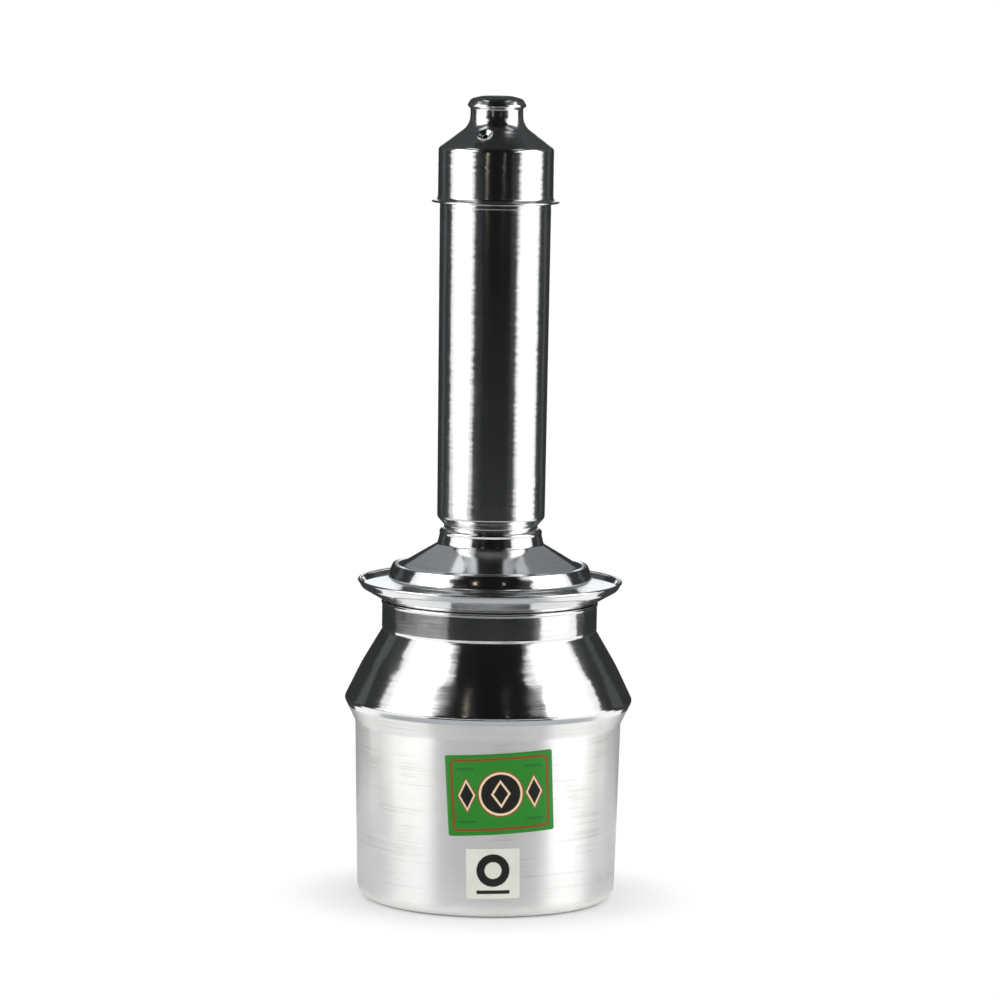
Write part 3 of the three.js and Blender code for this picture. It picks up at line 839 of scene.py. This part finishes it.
def reflected_card(name, rows, tone, reach=1.0):
    """A curved upright card round the object. Each row is a level and two bearings from the camera side."""
    steps = 24
    points = []
    for level, start, end in rows:
        for step in range(steps + 1):
            bearing = math.radians(start + (end - start) * step / steps)
            points.append((reach * math.sin(bearing), -reach * math.cos(bearing), level))
    faces = []
    for row in range(len(rows) - 1):
        for step in range(steps):
            first = row * (steps + 1) + step
            above = first + steps + 1
            faces.append((first, above, above + 1, first + 1))
    mesh = bpy.data.meshes.new(name)
    mesh.from_pydata(points, [], faces)
    stage_card(name, mesh, tone)


def stage_card(name, mesh, tone):
    """Gives the front of a card its even tone and hides the card from everything but mirror reflections."""
    cool_grey = (0.92, 0.97, 1.0, 1.0)
    card_paper = bpy.data.materials.new(name)
    card_paper.use_nodes = True
    tree = card_paper.node_tree
    tree.nodes.clear()
    glow = add_node(tree, "ShaderNodeEmission", {"Color": cool_grey, "Strength": tone}).outputs[0]
    clear = tree.nodes.new("ShaderNodeBsdfTransparent").outputs[0]
    behind = tree.nodes.new("ShaderNodeNewGeometry").outputs["Backfacing"]
    faced = add_node(tree, "ShaderNodeMixShader", {0: behind, 1: glow, 2: clear}).outputs[0]
    add_node(tree, "ShaderNodeOutputMaterial", {"Surface": faced})
    mesh.materials.append(card_paper)
    card = bpy.data.objects.new(name, mesh)
    studio.collection.objects.link(card)
    card.visible_camera = False
    card.visible_diffuse = False
    card.visible_shadow = False
    card.visible_transmission = False
    card.visible_volume_scatter = False


def flat_card(name, corners, tone):
    """A flat card through four corners that run anticlockwise as the object sees them."""
    mesh = bpy.data.meshes.new(name)
    mesh.from_pydata(corners, [], [(0, 1, 2, 3)])
    stage_card(name, mesh, tone)


def upright(half_width, depth, low, high):
    """Corners of an upright card behind the object that faces the front."""
    feet = [(-half_width, depth, low), (half_width, depth, low)]
    return feet + [(half_width, depth, high), (-half_width, depth, high)]


def level_card(left, right, near, far, level):
    """Corners of a level card above the object that faces down."""
    return [(left, near, level), (left, far, level), (right, far, level), (right, near, level)]


front_reach = 0.62
front_low_rows = [
    (0.0, -42, 47),
    (0.050, -42, 47),
    (0.058, -43, 54),
    (0.145, -43, 54),
    (0.153, -42, 47),
    (0.19, -42, 47),
]
front_high_rows = [
    (0.28, -42, 47),
    (0.45, -42, 47),
    (0.50, -51, 53),
    (0.57, -49, 50),
    (0.595, -45, 45),
    (0.620, -41, 41),
    (0.650, -38, 38),
    (0.74, -35, 38),
    (0.78, -39, 44),
    (0.82, -44, 49),
    (1.90, -44, 49),
]
reflected_card("front_low_card", front_low_rows, tone=0.020, reach=front_reach)
reflected_card("front_middle_card", [(0.19, -42, 47), (0.28, -42, 47)], tone=0.016, reach=front_reach)
reflected_card("front_high_card", front_high_rows, tone=0.008, reach=front_reach)

front_edge_reach = 0.60
front_left_rows = [(0.10, -41, -25), (0.28, -41, -23), (0.45, -41, -27)]
front_right_rows = [(0.10, 32, 46), (0.28, 34, 46), (0.45, 30, 46)]
reflected_card("front_left_card", front_left_rows, tone=0.034, reach=front_edge_reach)
reflected_card("front_right_card", front_right_rows, tone=0.036, reach=front_edge_reach)

reflected_card("back_low_card", [(0.0, 104, 260), (0.6, 104, 260)], tone=0.035)
reflected_card("back_high_card", [(0.6, 104, 260), (1.9, 104, 260)], tone=0.055)
back_strip_reach = 0.97
back_strip_rows = [
    (0.11, 121, 133),
    (0.15, 124, 137),
    (0.22, 119, 131),
    (0.27, 125, 134),
    (0.36, 117, 129),
    (0.48, 122, 138),
    (0.70, 118, 130),
]
right_strip_rows = [(level, start + 3, end + 2) for level, start, end in back_strip_rows]
left_strip_rows = [(level, -end, -start) for level, start, end in back_strip_rows]
reflected_card("right_back_strip", right_strip_rows, tone=0.08, reach=back_strip_reach)
reflected_card("left_back_strip", left_strip_rows, tone=0.09, reach=back_strip_reach)

reflected_card("left_high_card", [(1.36, -101, -44), (1.85, -101, -44)], tone=0.03)
reflected_card("right_high_card", [(1.36, 49, 101), (1.85, 49, 101)], tone=0.03)
reflected_card("left_low_card", [(0.0, -101, -42), (0.105, -101, -42)], tone=0.06)
flat_card("back_white_card", upright(half_width=0.056, depth=0.30, low=0.19, high=0.40), tone=1.1)
flat_card("flange_card", upright(half_width=0.085, depth=0.30, low=0.40, high=0.50), tone=1.1)
flat_card("ceiling_card", level_card(left=-1.1, right=1.1, near=-1.1, far=1.1, level=1.85), tone=0.020)
for hand, side, strip_tone, patch_tone, roof_tone in (
    ("left", -1, 1.0, 0.9, 0.26),
    ("right", 1, 0.6, 0.5, 0.21),
):
    strip_left, strip_right = sorted((side * 0.56, side * 0.80))
    strip = level_card(strip_left, strip_right, near=-0.42, far=0.40, level=1.80)
    flat_card(hand + "_high_strip", strip, strip_tone)
    patch_left, patch_right = sorted((side * 0.060, side * 0.090))
    patch = level_card(patch_left, patch_right, near=0.02, far=0.10, level=0.409)
    flat_card(hand + "_roof_patch", patch, patch_tone)
    roof_left, roof_right = sorted((side * 0.065, side * 0.26))
    roof = level_card(roof_left, roof_right, near=0.05, far=0.72, level=0.41)
    flat_card(hand + "_roof_card", roof, roof_tone)


def floor_ring(name, start, end, near, far, tone):
    """A ring-shaped card that lies on the floor between two bearings and faces up."""
    steps = 24
    level = 0.0008
    points = []
    for step in range(steps + 1):
        bearing = math.radians(start + (end - start) * step / steps)
        for reach in (near, far):
            points.append((reach * math.sin(bearing), -reach * math.cos(bearing), level))
    faces = [(2 * step, 2 * step + 1, 2 * step + 3, 2 * step + 2) for step in range(steps)]
    mesh = bpy.data.meshes.new(name)
    mesh.from_pydata(points, [], faces)
    stage_card(name, mesh, tone)


floor_ring("dark_floor", start=-45, end=48, near=0.20, far=0.40, tone=0.03)
floor_ring("back_floor", start=117, end=243, near=0.32, far=1.0, tone=0.05)
# The last ring is painted shade seen only in mirror reflections: a mid grey that stands in for the shadow
# on the floor round the pot and for the dark front of the room.
floor_ring("near_floor_painted_shade", start=-180, end=180, near=0.09, far=0.20, tone=0.50)


def lamp(name, bearing, reach, level, size, glow, colour=(1.0, 1.0, 1.0), shape="RECTANGLE"):
    """A flat lamp of even brightness that faces the object and that the camera doesn't see."""
    lamp_target = Vector((0.0, 0.0, 0.22))
    width, height = size
    light = bpy.data.lights.new(name, "AREA")
    light.shape = shape
    light.size = width
    light.size_y = height
    area = width * height if shape == "RECTANGLE" else math.pi / 4 * width * height
    light.energy = math.pi * area * glow
    light.color = colour
    stand = bpy.data.objects.new(name, light)
    angle = math.radians(bearing)
    stand.location = (reach * math.sin(angle), -reach * math.cos(angle), level)
    aim = lamp_target - stand.location
    stand.rotation_euler = aim.to_track_quat("-Z", "Y").to_euler()
    stand.visible_camera = False
    studio.collection.objects.link(stand)


soft_box = {"reach": 1.6, "level": 0.70, "size": (1.15, 1.9)}
lamp("left_soft_box", bearing=-70, glow=1.25, **soft_box)
lamp("right_soft_box", bearing=76, glow=1.35, **soft_box)
small_lamp = {"reach": 0.50, "level": 0.45, "colour": (1.0, 0.90, 0.72), "shape": "ELLIPSE"}
lamp("left_small_lamp", bearing=-17, size=(0.030, 0.030), glow=2.4, **small_lamp)
lamp("right_small_lamp", bearing=16, size=(0.018, 0.018), glow=2.0, **small_lamp)


def white_room():
    """World light: white where metal mirrors it, white or pale grey to the camera, softer on the object."""
    light_share = 0.84
    room = bpy.data.worlds.new("white_room")
    room.use_nodes = True
    room.cycles.sampling_method = "NONE"
    tree = room.node_tree
    tree.nodes.clear()
    path = tree.nodes.new("ShaderNodeLightPath").outputs
    seen = seen_as_picture(tree, path)
    strength = maths(tree, "MULTIPLY_ADD", seen, 1.0 - light_share, light_share)
    heading = tree.nodes.new("ShaderNodeTexCoord").outputs["Generated"]
    strength = maths(tree, "SUBTRACT", strength, grey_wall(tree, heading, path))
    light = add_node(tree, "ShaderNodeBackground", {"Color": plain_white, "Strength": strength})
    add_node(tree, "ShaderNodeOutputWorld", {"Surface": light.outputs[0]})
    return room


studio.world = white_room()


# Camera: in front of the object and a little above it, with a long lens and a very slight lean to one
# side, for a square picture.
camera_place = (0.0, -3.1, 0.592)
camera_target = Vector((0.0053, 0.0, 0.2404))
camera_lean = Matrix.Rotation(math.radians(0.86), 3, "Z")
camera_data = bpy.data.cameras.new("camera")
camera_data.sensor_width = 36.0
camera_data.lens = 187.2
camera_data.clip_end = 50.0
camera = bpy.data.objects.new("camera", camera_data)
camera.location = camera_place
camera_aim = camera_target - camera.location
camera.rotation_euler = (camera_aim.to_track_quat("-Z", "Y").to_matrix() @ camera_lean).to_euler()
studio.collection.objects.link(camera)
studio.camera = camera
